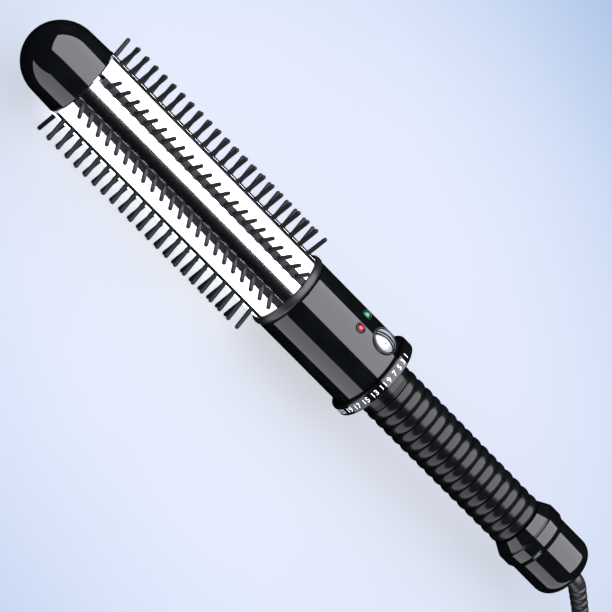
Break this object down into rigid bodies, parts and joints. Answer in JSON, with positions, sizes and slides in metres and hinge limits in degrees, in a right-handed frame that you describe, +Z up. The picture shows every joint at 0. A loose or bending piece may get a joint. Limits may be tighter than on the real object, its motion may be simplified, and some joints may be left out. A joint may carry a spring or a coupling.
{
  "type": "heated hair-curling brush",
  "caption": "Heated hair-curling brush: bristled metal barrel, round housing with a power button and turning heat dial, ribbed grip, and a swivel mains cord with a two-pin plug.",
  "frame": {"origin": "centre of the floor area under the brush, at the height of its two lowest bristle rows' tips", "axes": "+X along the brush from the tip to the cord end, +Z up, +Y to the left of the button when looking along +X"},
  "size_m": [0.5981, 0.049, 0.048],
  "materials": {
    "gloss_black": "polished",
    "satin_black": "satin",
    "bristle_grey": "satin",
    "chrome": "mirror",
    "aluminium": "mill finish",
    "brass": "bright",
    "steel": "plain",
    "silver": "metallised plastic",
    "ceramic": "fired",
    "mica": "plain",
    "board": "solder mask",
    "green_lens": "clear-tinted",
    "red_lens": "clear-tinted",
    "cream": "moulded",
    "lead_red": "silicone",
    "lead_white": "silicone",
    "cord_black": "satin"
  },
  "bodies": {
    "handle": {"barrel": "chrome", "board_screw_back": "steel", "board_screw_front": "steel", "bristle_strip_1": "bristle_grey", "bristle_strip_2": "bristle_grey", "bristle_strip_3": "bristle_grey", "bristle_strip_4": "bristle_grey", "bristle_strip_5": "bristle_grey", "bristle_strip_6": "bristle_grey", "bristle_strip_7": "bristle_grey", "bristle_strip_8": "bristle_grey", "contact_blade_live": "brass", "contact_blade_neutral": "brass", "contact_carrier": "cream", "control_board": "board", "dial_clip": "steel", "dial_track": "board", "dropper_capacitor": "cream", "electrode_lower": "aluminium", "electrode_upper": "aluminium", "end_cap": "gloss_black", "front_collar": "satin_black", "grip_sleeve": "satin_black", "handle_core": "satin_black", "heat_spreader_lower": "aluminium", "heat_spreader_upper": "aluminium", "heater_lead_live": "lead_red", "heater_lead_neutral": "lead_white", "housing": "gloss_black", "insulator_disc": "mica", "led_green": "green_lens", "led_red": "red_lens", "ptc_heater": "ceramic", "rear_hub": "gloss_black", "sensor_lead": "lead_white", "supply_lead_live": "lead_red", "supply_lead_neutral": "lead_white", "switch_body": "satin_black", "thermal_fuse": "steel", "thermistor": "ceramic", "tip_cap": "gloss_black", "tip_insert": "cream", "triac": "satin_black"},
    "power_button": {"power_button": "silver", "button_inlay": "gloss_black", "switch_plunger": "cream"},
    "heat_dial": {"dial_ring": "gloss_black", "dial_wiper": "brass"},
    "cord_end": {"swivel_spindle": "cream", "slip_ring_live": "brass", "slip_ring_neutral": "brass", "strain_relief": "satin_black", "power_cord": "cord_black", "cord_hank": "cord_black", "cord_tie": "satin_black", "plug_lead": "cord_black", "plug_body": "satin_black", "plug_prong_live": "brass", "plug_prong_neutral": "brass"}
  },
  "joints": [
    {"name": "power_press", "type": "slide", "parent": "handle", "child": "power_button", "axis": [0, -0.0785, -0.9969], "range_m": [0, 0.0012], "stiffness_N_per_m": 800},
    {"name": "dial_turn", "type": "hinge", "parent": "handle", "child": "heat_dial", "pos_m": [0.0361, 0, 0.02402], "axis": [-1, 0, 0], "range_deg": [0, 146]},
    {"name": "cord_swivel", "type": "hinge", "parent": "handle", "child": "cord_end", "pos_m": [0.1514, 0, 0.02402], "axis": [1, 0, 0], "continuous": true}
  ]
}
